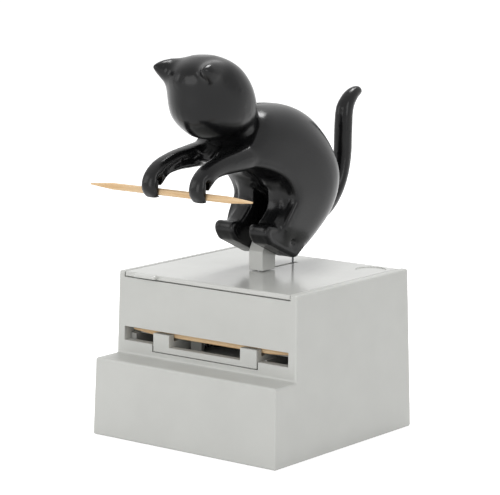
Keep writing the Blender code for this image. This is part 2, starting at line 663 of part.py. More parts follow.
def make_magazine(finish, tray_places):
    half = INSIDE_HALF_WIDTH - FIT_GAP
    slope = TRAY_WALL / math.cos(FLOOR_ANGLE)
    wall_back = TRAY_BACK_Y + TRAY_WALL
    lip = floor_top(TRAY_FLOOR_START)
    outline = ((TRAY_FLOOR_START, lip - slope / 2), (TRAY_FLOOR_START, lip),
               (TRAY_BACK_Y, floor_top(TRAY_BACK_Y)), (TRAY_BACK_Y, TRAY_BACK_TOP),
               (wall_back, TRAY_BACK_TOP), (wall_back, floor_top(wall_back) - slope),
               (TRAY_FLOOR_START + slope, floor_top(TRAY_FLOOR_START + slope) - slope))
    tray = plate("magazine", outline, (-half, half))
    for side in (-1, 1):
        inner, outer = side * (half - TRAY_CHEEK), side * half
        front = FACE_TOP_Y + FRONT_WALL + FIT_GAP
        cheek = ((front, PLATE_THICK + FIT_GAP), (TRAY_CHEEK_REAR_Y, PLATE_THICK + FIT_GAP),
                 (TRAY_CHEEK_REAR_Y, TRAY_SHELF_TOP), (wall_back - TRAY_WALL / 2, floor_top(TRAY_BACK_Y)),
                 (TRAY_FLOOR_START + TRAY_WALL / 2, floor_top(TRAY_FLOOR_START)), (front, SHUTTLE_ARM_TOP))
        join(tray, plate("cheek", cheek, (min(inner, outer), max(inner, outer))))
        x, y = tray_places[0 if side < 0 else 1]
        foot_height = PLATE_THICK + BOSS_HEIGHT
        join(tray, box("foot", sorted((x - side * BOSS_RADIUS, outer)), (y - BOSS_RADIUS, y + BOSS_RADIUS),
                       (PLATE_THICK + FIT_GAP, foot_height)))
    shelf_low = TRAY_SHELF_TOP - TRAY_SHELF_THICK
    front = FACE_TOP_Y + FRONT_WALL + FIT_GAP
    join(tray, box("shelf", (-half, half), (front, TRAY_REAR_Y), (shelf_low, TRAY_SHELF_TOP)))
    for side in (-1, 1):
        inner, outer = side * (SHUTTLE_INNER - FIT_GAP), side * (SHUTTLE_OUTER + FIT_GAP)
        cut(tray, box("arm_way", (min(inner, outer), max(inner, outer)), (FACE_TOP_Y, TRAY_SLOT_END),
                      (TRAY_SHELF_TOP + FIT_GAP, floor_top(TRAY_SLOT_END) + TRAY_WALL)))
        rail_in = side * (SHUTTLE_OUTER + FIT_GAP)
        rail_out = side * (SHUTTLE_OUTER + FIT_GAP + TRAY_WALL)
        join(tray, box("rail", (min(rail_in, rail_out), max(rail_in, rail_out)), (front, TRAY_REAR_Y),
                       (shelf_low, SHUTTLE_BEAM_TOP)))
        stop_x = side * SPRING_X
        join(tray, box("spring_stop", (stop_x - SPRING_STOP_HALF, stop_x + SPRING_STOP_HALF),
                       (SPRING_STOP_Y - TRAY_WALL, SPRING_STOP_Y),
                       (shelf_low + FIT_GAP, TRAY_SHELF_TOP + SPRING_STOP_HEIGHT)))
        window = sorted((side * (CAM_RIB_INNER - FIT_GAP), side * (CAM_RIB_OUTER + FIT_GAP)))
        cut(tray, box("rib_window", window, (TRAY_BACK_Y, wall_back + OVERRUN),
                      (TRAY_SHELF_TOP + FIT_GAP, rocker_tip(0)[1] + FIT_GAP)))
        x, y = tray_places[0 if side < 0 else 1]
        cut(tray, rod("foot_bore", (x, y, 0), (x, y, PLATE_THICK + SCREW_LENGTH), SCREW_RADIUS + RUN_GAP, 16))
    tray.data.materials.append(finish)
    return settled(tray)


def toothpick(name, x, y, z):
    """A round toothpick along X with a point at each end."""
    half = PICK_LENGTH / 2
    stations = ((-half, PICK_POINT_RADIUS), (-half + PICK_POINT_LENGTH, PICK_RADIUS),
                (half - PICK_POINT_LENGTH, PICK_RADIUS), (half, PICK_POINT_RADIUS))
    rings = [[Vector((x + along, y + radius * math.cos(2 * math.pi * i / PICK_SIDES),
                      z + radius * math.sin(2 * math.pi * i / PICK_SIDES))) for i in range(PICK_SIDES)]
             for along, radius in stations]
    return loft(name, rings)


def make_stack(finish):
    for column in range(STACK_COLUMNS):
        for row in range(STACK_ROWS):
            number = column * STACK_ROWS + row + 1
            finished(toothpick(f"toothpick_{number:02}", 0, *pick_centre(column, row)), finish)


# Shuttle with the ribs that the rocker presses
def rocker_tip(share):
    """Centre of the rocker's front tip when the cat has tipped by a share of its travel."""
    angle = ROCKER_FRONT_START + ROCKER_TURN * share
    return ROCKER_Y + ROCKER_FRONT_ARM * math.cos(angle), ROCKER_Z + ROCKER_FRONT_ARM * math.sin(angle)


def cam_outline():
    """Rib profile: a face that stays one clearance from the rocker's tip while the shuttle moves."""
    track = []
    for i in range(CAM_STEPS + 1):
        y, z = rocker_tip(i / CAM_STEPS)
        track.append(Vector((y + SHUTTLE_TRAVEL * i / CAM_STEPS, z)))
    face = []
    for i, place in enumerate(track):
        along = (track[min(i + 1, CAM_STEPS)] - track[max(i - 1, 0)]).normalized()
        away = Vector((along.y, -along.x))
        face.append(place + away * (ROCKER_TIP_RADIUS + FIT_GAP))
    top, last = face[0], face[-1]
    front = top.x - CAM_RIB_WALL
    return [(front, SHUTTLE_BOTTOM), (last.x + CAM_RIB_BACK_MARGIN, SHUTTLE_BOTTOM),
            (last.x + CAM_RIB_BACK_MARGIN, last.y)] + [(p.x, p.y) for p in reversed(face)] + [(front, top.y)]


def make_shuttle(finish):
    face_y = FACE_LOW_Y + FACE_DRAFT * (SHUTTLE_BAR_TOP - STEP_HEIGHT) / FACE_HEIGHT
    horn_back = face_y + SHUTTLE_HORN_DEPTH
    shuttle = box("shuttle", (-SHUTTLE_OUTER, SHUTTLE_OUTER), (face_y, horn_back),
                  (SHUTTLE_BOTTOM, SHUTTLE_BAR_TOP))
    for side in (-1, 1):
        low, high = sorted((side * SHUTTLE_INNER, side * SHUTTLE_OUTER))
        arm = ((face_y, SHUTTLE_BOTTOM), (SHUTTLE_ARM_END, SHUTTLE_BOTTOM),
               (SHUTTLE_ARM_END, SHUTTLE_BEAM_TOP), (SHUTTLE_BEAM_START, SHUTTLE_BEAM_TOP),
               (SHUTTLE_BEAM_START - PICK_RADIUS, SHUTTLE_ARM_TOP),
               (FIRST_PICK_Y + CRADLE_HALF, SHUTTLE_ARM_TOP), (FIRST_PICK_Y, SHUTTLE_ARM_TOP - CRADLE_DEPTH),
               (horn_back, SHUTTLE_ARM_TOP - CRADLE_DEPTH), (horn_back, SHUTTLE_HORN_TOP),
               (face_y, SHUTTLE_HORN_TOP))
        join(shuttle, plate("arm", arm, (low, high)))
        low, high = sorted((side * CAM_RIB_INNER, side * CAM_RIB_OUTER))
        join(shuttle, plate("rib", cam_outline(), (low, high)))
    join(shuttle, box("beam", (-SHUTTLE_OUTER + FIT_GAP, SHUTTLE_OUTER - FIT_GAP),
                      (SHUTTLE_BEAM_START, SHUTTLE_ARM_END), (SHUTTLE_BOTTOM, SHUTTLE_BEAM_TOP - FIT_GAP)))
    shuttle.data.materials.append(finish)
    return settled(shuttle)


# Lid, post and hinge
def make_lid(finish):
    low = BOX_HEIGHT - LID_THICK
    front = FACE_TOP_Y
    lid = box("lid", (-LID_HALF_WIDTH, LID_HALF_WIDTH), (front, HINGE_Y), (low, BOX_HEIGHT))
    rounded(lid, BOX_EDGE_RADIUS / 3, 1)
    join(lid, rod("barrel", (-LID_HALF_WIDTH, HINGE_Y, HINGE_Z), (LID_HALF_WIDTH, HINGE_Y, HINGE_Z),
                  BARREL_RADIUS))
    tab = box("tab", (TAB_LEFT, TAB_RIGHT), (front - TAB_REACH, front + FIT_GAP), (low + FIT_GAP, BOX_HEIGHT))
    rounded(tab, TAB_REACH / 3, 2)
    join(lid, tab)
    cut(lid, rod("hinge_bore", (-LID_HALF_WIDTH - OVERRUN, HINGE_Y, HINGE_Z),
                 (LID_HALF_WIDTH + OVERRUN, HINGE_Y, HINGE_Z), HINGE_PIN_RADIUS + RUN_GAP))
    cut(lid, box("slit", (-SLIT_HALF, SLIT_HALF), (SLIT_FRONT_Y, SLIT_BACK_Y),
                 (low - OVERRUN, BOX_HEIGHT + OVERRUN)))
    cut(lid, rod("mark", (LID_MARK_X, LID_MARK_Y, BOX_HEIGHT - LID_MARK_DEPTH),
                 (LID_MARK_X, LID_MARK_Y, BOX_HEIGHT + OVERRUN), LID_MARK_RADIUS, 32))
    for side in (-1, 1):
        x = sorted((side * BRACKET_INNER, side * BRACKET_OUTER))
        ear = [(ROCKER_Y + BRACKET_EAR * math.cos(a * DEG), ROCKER_Z + BRACKET_EAR * math.sin(a * DEG))
               for a in range(180, 361, 20)]
        top = low + FIT_GAP
        join(lid, plate("bracket", [(ROCKER_Y - BRACKET_TOP_HALF, top), *ear, (ROCKER_Y + BRACKET_TOP_HALF, top)], x))
    cut(lid, rod("axle_bore", (-BRACKET_OUTER - OVERRUN, ROCKER_Y, ROCKER_Z),
                 (BRACKET_OUTER + OVERRUN, ROCKER_Y, ROCKER_Z), AXLE_RADIUS + RUN_GAP))
    for y in post_screw_places():
        cut(lid, rod("post_bore", (0, y, low - OVERRUN), (0, y, BOX_HEIGHT + OVERRUN),
                     POST_SCREW_RADIUS + FIT_GAP, 16))
    lid.data.materials.append(finish)
    return settled(lid)


def post_screw_places():
    return POST_FRONT_Y + POST_SCREW_INSET, POST_BACK_Y - POST_SCREW_INSET


def make_post(finish, steel):
    base = BOX_HEIGHT + FIT_GAP
    ear = [(PIVOT_Y + EAR_RADIUS * math.cos(a * DEG), PIVOT_Z + EAR_RADIUS * math.sin(a * DEG))
           for a in range(-30, 151, 18)]
    outline = [(POST_FRONT_Y, base), (POST_BACK_Y, base), (POST_BACK_Y, PIVOT_Z - 2 * EAR_RADIUS)] + ear
    outline += [(POST_FRONT_Y, PIVOT_Z - POST_SHOULDER)]
    post = plate("pivot_post", outline, (-POST_HALF, POST_HALF))
    rounded(post, POST_ROUND, 1)
    cut(post, rod("pivot_bore", (-POST_HALF - OVERRUN, PIVOT_Y, PIVOT_Z),
                  (POST_HALF + OVERRUN, PIVOT_Y, PIVOT_Z), PIVOT_PIN_RADIUS + RUN_GAP))
    low = BOX_HEIGHT - LID_THICK - FIT_GAP - POST_SCREW_HEAD / 2
    for number, y in enumerate(post_screw_places(), 1):
        cut(post, rod("screw_bore", (0, y, base - OVERRUN), (0, y, low + POST_SCREW_LENGTH + FIT_GAP),
                      POST_SCREW_RADIUS + RUN_GAP, 16))
        finished(screw(f"post_screw_{number}", (0, y, low), POST_SCREW_RADIUS, POST_SCREW_LENGTH,
                       POST_SCREW_HEAD, POST_SCREW_HEAD / 2), steel)
    return finished(settled(post), finish)


# Rocker, its axle and springs
def rocker_point(reach, angle):
    return ROCKER_Y + reach * math.cos(angle), ROCKER_Z + reach * math.sin(angle)


def arm_outline(reach, angle, root, tip):
    """A tapered arm from the hub to a round tip."""
    side = angle + 90 * DEG
    outline = [rocker_point(root, side)]
    cy, cz = rocker_point(reach, angle)
    for i in range(9):
        turn = side - i * 180 * DEG / 8
        outline.append((cy + tip * math.cos(turn), cz + tip * math.sin(turn)))
    outline.append(rocker_point(root, side + math.pi))
    return outline


def make_rocker(finish, steel):
    rocker = rod("rocker", (-ROCKER_HUB_HALF, ROCKER_Y, ROCKER_Z), (ROCKER_HUB_HALF, ROCKER_Y, ROCKER_Z),
                 ROCKER_HUB_RADIUS)
    root = ROCKER_HUB_RADIUS * math.cos(30 * DEG)
    join(rocker, plate("back_arm", arm_outline(ROCKER_BACK_ARM, ROCKER_BACK_START, root, ROCKER_EYE_RADIUS),
                       (-ROCKER_ARM_FAR, -ROCKER_ARM_NEAR)))
    for side in (-1, 1):
        outline = arm_outline(ROCKER_FRONT_ARM, ROCKER_FRONT_START, root, ROCKER_TIP_RADIUS)
        join(rocker, plate("front_arm", outline, sorted((side * FORK_INNER, side * FORK_OUTER))))
    cut(rocker, rod("axle_bore", (-ROCKER_HUB_HALF - OVERRUN, ROCKER_Y, ROCKER_Z),
                    (ROCKER_HUB_HALF + OVERRUN, ROCKER_Y, ROCKER_Z), AXLE_RADIUS + RUN_GAP))
    y, z = rocker_point(ROCKER_BACK_ARM, ROCKER_BACK_START)
    cut(rocker, rod("wire_hole", (-ROCKER_ARM_FAR - OVERRUN, y, z), (OVERRUN, y, z),
                    WIRE_HOLE_RADIUS, 16))
    rocker.data.materials.append(finish)
    axle = rod("rocker_axle", (-AXLE_HALF, ROCKER_Y, ROCKER_Z), (AXLE_HALF, ROCKER_Y, ROCKER_Z), AXLE_RADIUS)
    axle.data.materials.append(steel)
    for side, word in ((-1, "left"), (1, "right")):
        start = side * (BRACKET_OUTER + FIT_GAP)
        clip = rod(f"axle_clip_{word}", (start, ROCKER_Y, ROCKER_Z),
                   (start + side * CLIP_THICK, ROCKER_Y, ROCKER_Z), CLIP_RADIUS)
        cut(clip, rod("clip_bore", (start - side * OVERRUN, ROCKER_Y, ROCKER_Z),
                      (start + side * OVERRUN, ROCKER_Y, ROCKER_Z), AXLE_RADIUS + RUN_GAP))
        finished(settled(clip), steel)
    return settled(rocker)


def helix(start, end, radius, turns, phase=0.0):
    """Points of a coil whose axis runs from start to end, along X or Y."""
    start, end = Vector(start), Vector(end)
    axis = end - start
    side = Vector((0, 0, 1))
    other = axis.normalized().cross(side)
    count = round(turns * SPRING_SIDES)
    path = []
    for i in range(count + 1):
        turn = 2 * math.pi * turns * i / count + phase
        path.append(start + axis * i / count + (side * math.cos(turn) + other * math.sin(turn)) * radius)
    return path


def make_springs(steel):
    """The rocker's return spring, with a leg on the lid and one on the arm, and the shuttle's two springs."""
    quarter = math.pi / 2
    turns = TORSION_TURNS - (quarter + ROCKER_BACK_START) / (2 * math.pi)
    coil = helix((TORSION_END, ROCKER_Y, ROCKER_Z), (TORSION_START, ROCKER_Y, ROCKER_Z), TORSION_RADIUS,
                 turns, quarter)
    lid_leg = Vector((TORSION_END, coil[0].y, BOX_HEIGHT - LID_THICK - FIT_GAP - TORSION_WIRE))
    along = Vector((0, math.cos(ROCKER_BACK_START), math.sin(ROCKER_BACK_START)))
    arm_leg = coil[-1] + along * TORSION_LEG
    leg_end = Vector((-(ROCKER_ARM_NEAR + ROCKER_ARM_FAR) / 2, arm_leg.y, arm_leg.z))
    torsion = tube("return_spring", [lid_leg] + coil + [arm_leg, leg_end], TORSION_WIRE, 1)
    torsion.data.materials.append(steel)
    middle_z = TRAY_SHELF_TOP + FIT_GAP + SPRING_RADIUS + SPRING_WIRE
    ends = (SPRING_STOP_Y + SPRING_WIRE + RUN_GAP, SHUTTLE_BEAM_START - SPRING_WIRE - RUN_GAP)
    for side, word in ((-1, "left"), (1, "right")):
        path = helix((side * SPRING_X, ends[0], middle_z), (side * SPRING_X, ends[1], middle_z),
                     SPRING_RADIUS, SPRING_TURNS)
        finished(tube(f"shuttle_spring_{word}", path, SPRING_WIRE, 1), steel)


def make_wire(finish):
    """Wire that is hooked into the cat's left half and runs beside the rocker's arm into its eye."""
    y, z = rocker_point(ROCKER_BACK_ARM, ROCKER_BACK_START)
    path = [(WIRE_BEND, WIRE_TOP_Y, WIRE_TOP_Z), (0, WIRE_TOP_Y, WIRE_TOP_Z), (0, y, z),
            (-ROCKER_ARM_FAR, y, z)]
    wire = tube("link_wire", path, WIRE_RADIUS, 2)
    wire.data.materials.append(finish)
    return wire


# Cat
def head_solid(name, grow=0.0, group=PARTS):
    skull = loft(name, soft_rings(HEAD_SHARES, (2.1, 1.8), grow), group)
    for side in (-1, 1):
        ear = [(*row[:5], row[5] * side) for row in EAR_SHARES]
        join(skull, loft("ear", soft_rings(ear, (2, 2), grow, 3, 16), group))
    return settled(skull)


def tail_solid(name, grow=0.0, group=PARTS):
    return loft(name, soft_rings(TAIL_SHARES, (2.2, 2.2), grow, 3, 16), group)


def make_cat(black):
    half = loft("cat_body_left", soft_rings(TORSO_SHARES, (2.1, 18)))
    cut(half, box("other_side", (-CAT_SIZE, SEAM_HALF), (PIVOT_Y - CAT_SIZE, PIVOT_Y + CAT_SIZE),
                  (PIVOT_Z - CAT_SIZE, PIVOT_Z + CAT_SIZE)))
    leg = plate("leg", cat_points(LEG_OUTLINE_SHARES), (LEG_INNER, LEG_OUTER))
    rounded(leg, LEG_ROUND, 2)
    thigh = plate("thigh", cat_points(THIGH_OUTLINE_SHARES), (LEG_INNER / 2, THIGH_OUTER))
    rounded(thigh, LEG_ROUND, 2)
    join(half, leg, thigh, loft("arm", soft_rings(ARM_SHARES, (2.6, 2.6), 0, 3, 20)))
    cut(half, loft("arm_pocket", soft_rings(ARM_POCKET_SHARES, (2.6, 2.6), 0, 2, 12)))
    cut(half, plate("crotch", cat_points(CROTCH_OUTLINE_SHARES), (-OVERRUN, LEG_INNER)))
    hold = PICK_RADIUS + PICK_SEAT
    cut(half, box("paw_slot", (0, LEG_OUTER + OVERRUN), (HELD_PICK_Y - hold, HELD_PICK_Y + PAW_SLOT_BACK),
                  (HELD_PICK_Z - hold, HELD_PICK_Z + PAW_SLOT_HEIGHT)))
    cut(half, box("paw_throat", (0, LEG_OUTER + OVERRUN), (HELD_PICK_Y, HELD_PICK_Y + OVERRUN),
                  (HELD_PICK_Z - hold + PICK_SEAT, HELD_PICK_Z - hold + PICK_SEAT + PAW_THROAT_HEIGHT)))
    cut(half, rod("pin_bore", (-OVERRUN, PIVOT_Y, PIVOT_Z), (LEG_OUTER + OVERRUN, PIVOT_Y, PIVOT_Z),
                  PIVOT_PIN_RADIUS + RUN_GAP))
    cut(half, rod("wire_bore", (-OVERRUN, WIRE_TOP_Y, WIRE_TOP_Z),
                  (WIRE_BEND + FIT_GAP + LEG_INNER, WIRE_TOP_Y, WIRE_TOP_Z), WIRE_RADIUS + RUN_GAP, 12))
    cut(half, head_solid("head_room", FIT_GAP), tail_solid("tail_room", FIT_GAP))
    settled(half)
    finished(mirrored(half, "cat_body_right"), black)
    finished(half, black)
    finished(head_solid("cat_head"), black)
    finished(tail_solid("cat_tail"), black)


def hang_moving_pieces():
    hinge = joint_axis("lid_axis", (0, HINGE_Y, HINGE_Z))
    pivot = joint_axis("cat_axis", (0, PIVOT_Y, PIVOT_Z), hinge)
    rocker = joint_axis("rocker_turn_axis", (0, ROCKER_Y, ROCKER_Z), hinge)
    wire = joint_axis("wire_axis", (0, WIRE_TOP_Y, WIRE_TOP_Z), pivot)
    slide = joint_axis("shuttle_rest", (0, FACE_LOW_Y, SHUTTLE_BOTTOM))
    carried(hinge, "lid", "pivot_post", "post_screw_1", "post_screw_2", "rocker_axle", "axle_clip_left",
            "axle_clip_right", "return_spring")
    carried(pivot, "cat_body_left", "cat_body_right", "cat_head", "cat_tail", "pivot_pin", "toothpick_held")
    carried(rocker, "rocker")
    carried(wire, "link_wire")
    carried(slide, "shuttle")


def main():
    grey = material("box_grey", WARM_GREY, 0.35)
    inner_grey = material("inner_grey", MID_GREY, 0.5)
    black = material("cat_black", BLACK, 0.32)
    wood = material("wood", WOOD, 0.7)
    steel = material("steel", STEEL, 0.3, 1.0)
    dark = material("dark_steel", DARK_STEEL, 0.4, 1.0)
    make_housing(grey)
    tray_places = make_base(inner_grey, steel)
    make_magazine(inner_grey, tray_places)
    make_stack(wood)
    make_shuttle(grey)
    make_lid(grey)
    make_post(grey, steel)
    make_rocker(inner_grey, steel)
    make_springs(steel)
    make_wire(dark)
    finished(rod("lid_hinge_pin", (-HINGE_PIN_HALF, HINGE_Y, HINGE_Z), (HINGE_PIN_HALF, HINGE_Y, HINGE_Z),
                 HINGE_PIN_RADIUS), steel)
    make_cat(black)
    finished(rod("pivot_pin", (-PIVOT_PIN_HALF, PIVOT_Y, PIVOT_Z), (PIVOT_PIN_HALF, PIVOT_Y, PIVOT_Z),
                 PIVOT_PIN_RADIUS), steel)
    finished(toothpick("toothpick_held", HELD_PICK_X, HELD_PICK_Y, HELD_PICK_Z), wood)
    hang_moving_pieces()


main()
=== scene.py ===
"""The cat toothpick dispenser, dressed for its picture.

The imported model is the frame, in metres: -Y is the front and +Z is up. The cat's solids get
a finer skin with soft joins. Every other solid keeps its shape and gets its finish here.
"""

import bmesh
import bpy
import numpy as np
from mathutils import Matrix, Vector


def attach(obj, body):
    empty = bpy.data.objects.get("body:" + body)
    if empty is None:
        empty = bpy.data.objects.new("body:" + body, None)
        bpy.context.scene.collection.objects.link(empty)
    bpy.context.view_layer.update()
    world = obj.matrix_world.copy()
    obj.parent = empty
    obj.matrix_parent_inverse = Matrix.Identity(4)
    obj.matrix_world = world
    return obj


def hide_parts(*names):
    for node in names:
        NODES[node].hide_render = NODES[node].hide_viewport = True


MM = 0.001
WHITE = (1, 1, 1, 1)

# Camera, solved from the straight edges of the box
CAMERA_PLACE = (0.45954, -0.57973, 0.18771)
CAMERA_RIGHT = (0.78302867, 0.62198415, -0.00134612)
CAMERA_UP = (-0.10474883, 0.13400316, 0.98542927)
CAMERA_AHEAD = (-0.61310177, 0.77147837, -0.17008043)
CAMERA_SENSOR = 36.0
CAMERA_LENS = 168.83
CAMERA_NEAR = 0.05

# Noise fields of the finishes, in waves per metre
FIELD_MIDDLE = (0.3, 0.7)            # the part of a field's values that is spread over a finish's range
PLAIN_DETAIL = 3.0
GRAIN_DETAIL = 2.0
TINT_WAVES = 90
GLOSS_WAVES = 260
GLOSS_RANGE = (0.92, 1.08)
MOULD_GRAIN_WAVES = 2600
FIBRE_WAVES = 1400
FIBRE_STRETCH = (0.035, 1, 1)
FIBRE_DETAIL = 5.0
FIBRE_DEPTH = 0.06 * MM
FIBRE_STRENGTH = 0.6
WOOD_ROUGHNESS = 0.62
WOOD_SPECULAR = 0.3
DRAWN_WAVES = 700
DRAWN_RANGE = (0.8, 1.25)
DRAWN_GRAIN_WAVES = 3000
DRAWN_GRAIN = 0.004 * MM

# Cat skin
SKIN_VOXEL = 0.42 * MM
WELD = 0.001 * MM
SKIN_SMOOTH = 0.5
SKIN_STEPS = {"cat_body_left": 7, "cat_body_right": 7, "cat_head": 6, "cat_tail": 4}
SKIN_CLOSING = {                     # corners that curve more tightly than this are filled
    "cat_body_left": 0.8 * MM,
    "cat_body_right": 0.8 * MM,
    "cat_head": 1.6 * MM,
    "cat_tail": 0.4 * MM,
}
SKIN_GROWTH = 0.13 * MM              # closes the seams between the mouldings
FAIR_STEPS = 70                      # smoothing of the parts that have no edge to keep
FAIR_LIMITS = (0.1 * MM, 0.26 * MM)  # a point that this smoothing would move further lies on an edge
NECK_PLACE = (0, -11.5 * MM, 99.5 * MM)
NECK_REACH = (9.6 * MM, 7.6 * MM, 7.0 * MM)
NECK_FINENESS = 4

# Light and stage
FLOOR_REACH = 3.0
FLOOR_CORNERS = ((-1, -1), (1, -1), (1, 1), (-1, 1))
FLOOR_COLOUR = (0.8, 0.8, 0.8, 1)
FLOOR_LIFT = 0.66
WORLD_FILL = 0.54
LAMP_AIM = (0, 0, 0.07)
LAMPS = (                            # name, place and size in metres, and power in watts
    ("overhead", (-0.12, 0.36, 0.80), (0.26, 0.26), 3.4),
    ("front", (0.06, -0.85, 0.20), (0.5, 0.8), 2.8),
    ("front_left", (-0.75, -0.65, 0.45), (0.35, 0.6), 1.2),
    ("right", (0.85, -0.1, 0.45), (0.3, 0.6), 1.6),
)

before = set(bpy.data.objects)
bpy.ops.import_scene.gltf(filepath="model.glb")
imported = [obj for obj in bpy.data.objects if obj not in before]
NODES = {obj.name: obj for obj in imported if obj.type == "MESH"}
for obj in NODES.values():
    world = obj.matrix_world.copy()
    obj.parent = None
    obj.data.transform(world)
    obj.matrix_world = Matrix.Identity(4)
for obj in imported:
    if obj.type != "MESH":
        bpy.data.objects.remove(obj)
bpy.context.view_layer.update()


# Materials
def new_material(name, colour, roughness, metallic=0.0, specular=0.5):
    made = bpy.data.materials.new(name)
    made.use_nodes = True
    shader = made.node_tree.nodes["Principled BSDF"]
    shader.inputs["Base Color"].default_value = (*colour, 1)
    shader.inputs["Roughness"].default_value = roughness
    shader.inputs["Metallic"].default_value = metallic
    shader.inputs["Specular IOR Level"].default_value = specular
    return made, shader


def noise(tree, waves, stretch=(1, 1, 1), detail=PLAIN_DETAIL):
    """A noise field in object space, stretched along the axes."""
    place = tree.nodes.new("ShaderNodeTexCoord")
    mapping = tree.nodes.new("ShaderNodeMapping")
    mapping.inputs["Scale"].default_value = stretch
    field = tree.nodes.new("ShaderNodeTexNoise")
    field.inputs["Scale"].default_value = waves
    field.inputs["Detail"].default_value = detail
    tree.links.new(place.outputs["Object"], mapping.inputs["Vector"])
    tree.links.new(mapping.outputs["Vector"], field.inputs["Vector"])
    return field.outputs["Fac"]


def spread(tree, source, low, high):
    """The field's middle range mapped to low..high."""
    span = tree.nodes.new("ShaderNodeMapRange")
    span.inputs["From Min"].default_value, span.inputs["From Max"].default_value = FIELD_MIDDLE
    span.inputs["To Min"].default_value = low
    span.inputs["To Max"].default_value = high
    tree.links.new(source, span.inputs["Value"])
    return span.outputs["Result"]


def tinted(tree, source, first, second):
    """A colour between two, by the field."""
    mix = tree.nodes.new("ShaderNodeMix")
    mix.data_type = "RGBA"
    mix.inputs["A"].default_value = (*first, 1)
    mix.inputs["B"].default_value = (*second, 1)
    tree.links.new(spread(tree, source, 0, 1), mix.inputs["Factor"])
    return mix.outputs["Result"]


def uneven_gloss(tree, shader, source, roughness, span):
    """Roughness that varies by the field, within a span of shares of its own value."""
    low, high = (roughness * share for share in span)
    tree.links.new(spread(tree, source, low, high), shader.inputs["Roughness"])


def bumped(tree, shader, source, distance, strength=1.0):
    bump = tree.nodes.new("ShaderNodeBump")
    bump.inputs["Distance"].default_value = distance
    bump.inputs["Strength"].default_value = strength
    tree.links.new(source, bump.inputs["Height"])
    tree.links.new(bump.outputs["Normal"], shader.inputs["Normal"])


def moulded(name, colour, roughness, grain, specular=0.5, shade=0.96):
    """Moulded plastic: nearly even colour, slightly uneven gloss and a fine grain."""
    made, shader = new_material(name, colour, roughness, specular=specular)
    tree = made.node_tree
    darker = tuple(channel * shade for channel in colour)
    tree.links.new(tinted(tree, noise(tree, TINT_WAVES), darker, colour), shader.inputs["Base Color"])
    uneven_gloss(tree, shader, noise(tree, GLOSS_WAVES), roughness, GLOSS_RANGE)
    bumped(tree, shader, noise(tree, MOULD_GRAIN_WAVES, detail=GRAIN_DETAIL), grain)
    return made


def wooden(name, light, dark):
    """Raw wood with fibres along X."""
    made, shader = new_material(name, light, WOOD_ROUGHNESS, specular=WOOD_SPECULAR)
    tree = made.node_tree
    fibres = noise(tree, FIBRE_WAVES, FIBRE_STRETCH, FIBRE_DETAIL)
    tree.links.new(tinted(tree, fibres, dark, light), shader.inputs["Base Color"])
    bumped(tree, shader, fibres, FIBRE_DEPTH, FIBRE_STRENGTH)
    return made


def drawn_steel(name, colour, roughness):
    """Drawn metal: one colour, uneven gloss and a very fine grain."""
    made, shader = new_material(name, colour, roughness, metallic=1.0)
    tree = made.node_tree
    uneven_gloss(tree, shader, noise(tree, DRAWN_WAVES), roughness, DRAWN_RANGE)
    bumped(tree, shader, noise(tree, DRAWN_GRAIN_WAVES, detail=GRAIN_DETAIL), DRAWN_GRAIN)
    return made


BOX_GREY = moulded("box_shell", (0.57, 0.575, 0.55), roughness=0.36, grain=0.004 * MM, specular=0.4)
LID_GREY = moulded("lid_shell", (0.60, 0.605, 0.58), roughness=0.16, grain=0.002 * MM)
INNER_GREY = moulded("inner_parts", (0.36, 0.36, 0.34), roughness=0.5, grain=0.006 * MM)
CAT_BLACK = moulded("cat", (0.0045, 0.0046, 0.005), roughness=0.24, grain=0.001 * MM, specular=0.28, shade=0.9)
WOOD = wooden("wood", light=(0.82, 0.61, 0.38), dark=(0.68, 0.44, 0.22))
STEEL = drawn_steel("steel", (0.56, 0.56, 0.58), roughness=0.28)
DARK_WIRE = drawn_steel("dark_wire", (0.16, 0.16, 0.17), roughness=0.32)


def finish_of(node):
    """The material of a node: what isn't plastic, wood or the wire is a small steel piece."""
    if node.startswith("toothpick"):
        return WOOD
    if node.startswith("cat_"):
        return CAT_BLACK
    if node in ("lid", "pivot_post"):
        return LID_GREY
    if node in ("housing", "shuttle"):
        return BOX_GREY
    if node in ("magazine", "rocker", "bottom_plate"):
        return INNER_GREY
    if node == "link_wire":
        return DARK_WIRE
    return STEEL


def give(obj, material):
    if obj.material_slots:
        for slot in obj.material_slots:
            slot.material = material
    else:
        obj.data.materials.append(material)


def place_in_scene(name, data):
    made = bpy.data.objects.new(name, data)
    bpy.context.scene.collection.objects.link(made)
    return made


# Cat skin
def welded(source):
    """A copy of a node's mesh whose points are shared between its faces."""
    mesh = source.data.copy()
    bm = bmesh.new()
    bm.from_mesh(mesh)
    bmesh.ops.remove_doubles(bm, verts=bm.verts, dist=WELD)
    bm.to_mesh(mesh)
    bm.free()
    return mesh


def add_neck(mesh):
    """The neck's fullness below the head, added to the head's mesh."""
    bm = bmesh.new()
    bm.from_mesh(mesh)
    place = Matrix.Translation(NECK_PLACE) @ Matrix.Diagonal((*NECK_REACH, 1))
    bmesh.ops.create_icosphere(bm, subdivisions=NECK_FINENESS, radius=1, matrix=place)
    bm.to_mesh(mesh)
    bm.free()


def mesh_evenly(obj):
    remesh = obj.modifiers.new("even", "REMESH")
    remesh.mode = "VOXEL"
    remesh.voxel_size = SKIN_VOXEL
    remesh.use_smooth_shade = True


def push_out(obj, distance):
    push = obj.modifiers.new("push", "DISPLACE")
    push.strength = distance
    push.mid_level = 0


def smooth(obj, steps):
    soften = obj.modifiers.new("soften", "SMOOTH")
    soften.factor = SKIN_SMOOTH
    soften.iterations = steps


def shaped(obj):
    """The mesh that an object's modifiers give."""
    return bpy.data.meshes.new_from_object(obj.evaluated_get(bpy.context.evaluated_depsgraph_get()))


def vectors_of(points, field):
    """One vector for each point, as rows."""
    values = np.empty(len(points) * 3, dtype=np.float32)
    points.foreach_get(field, values)
    return values.reshape(-1, 3)


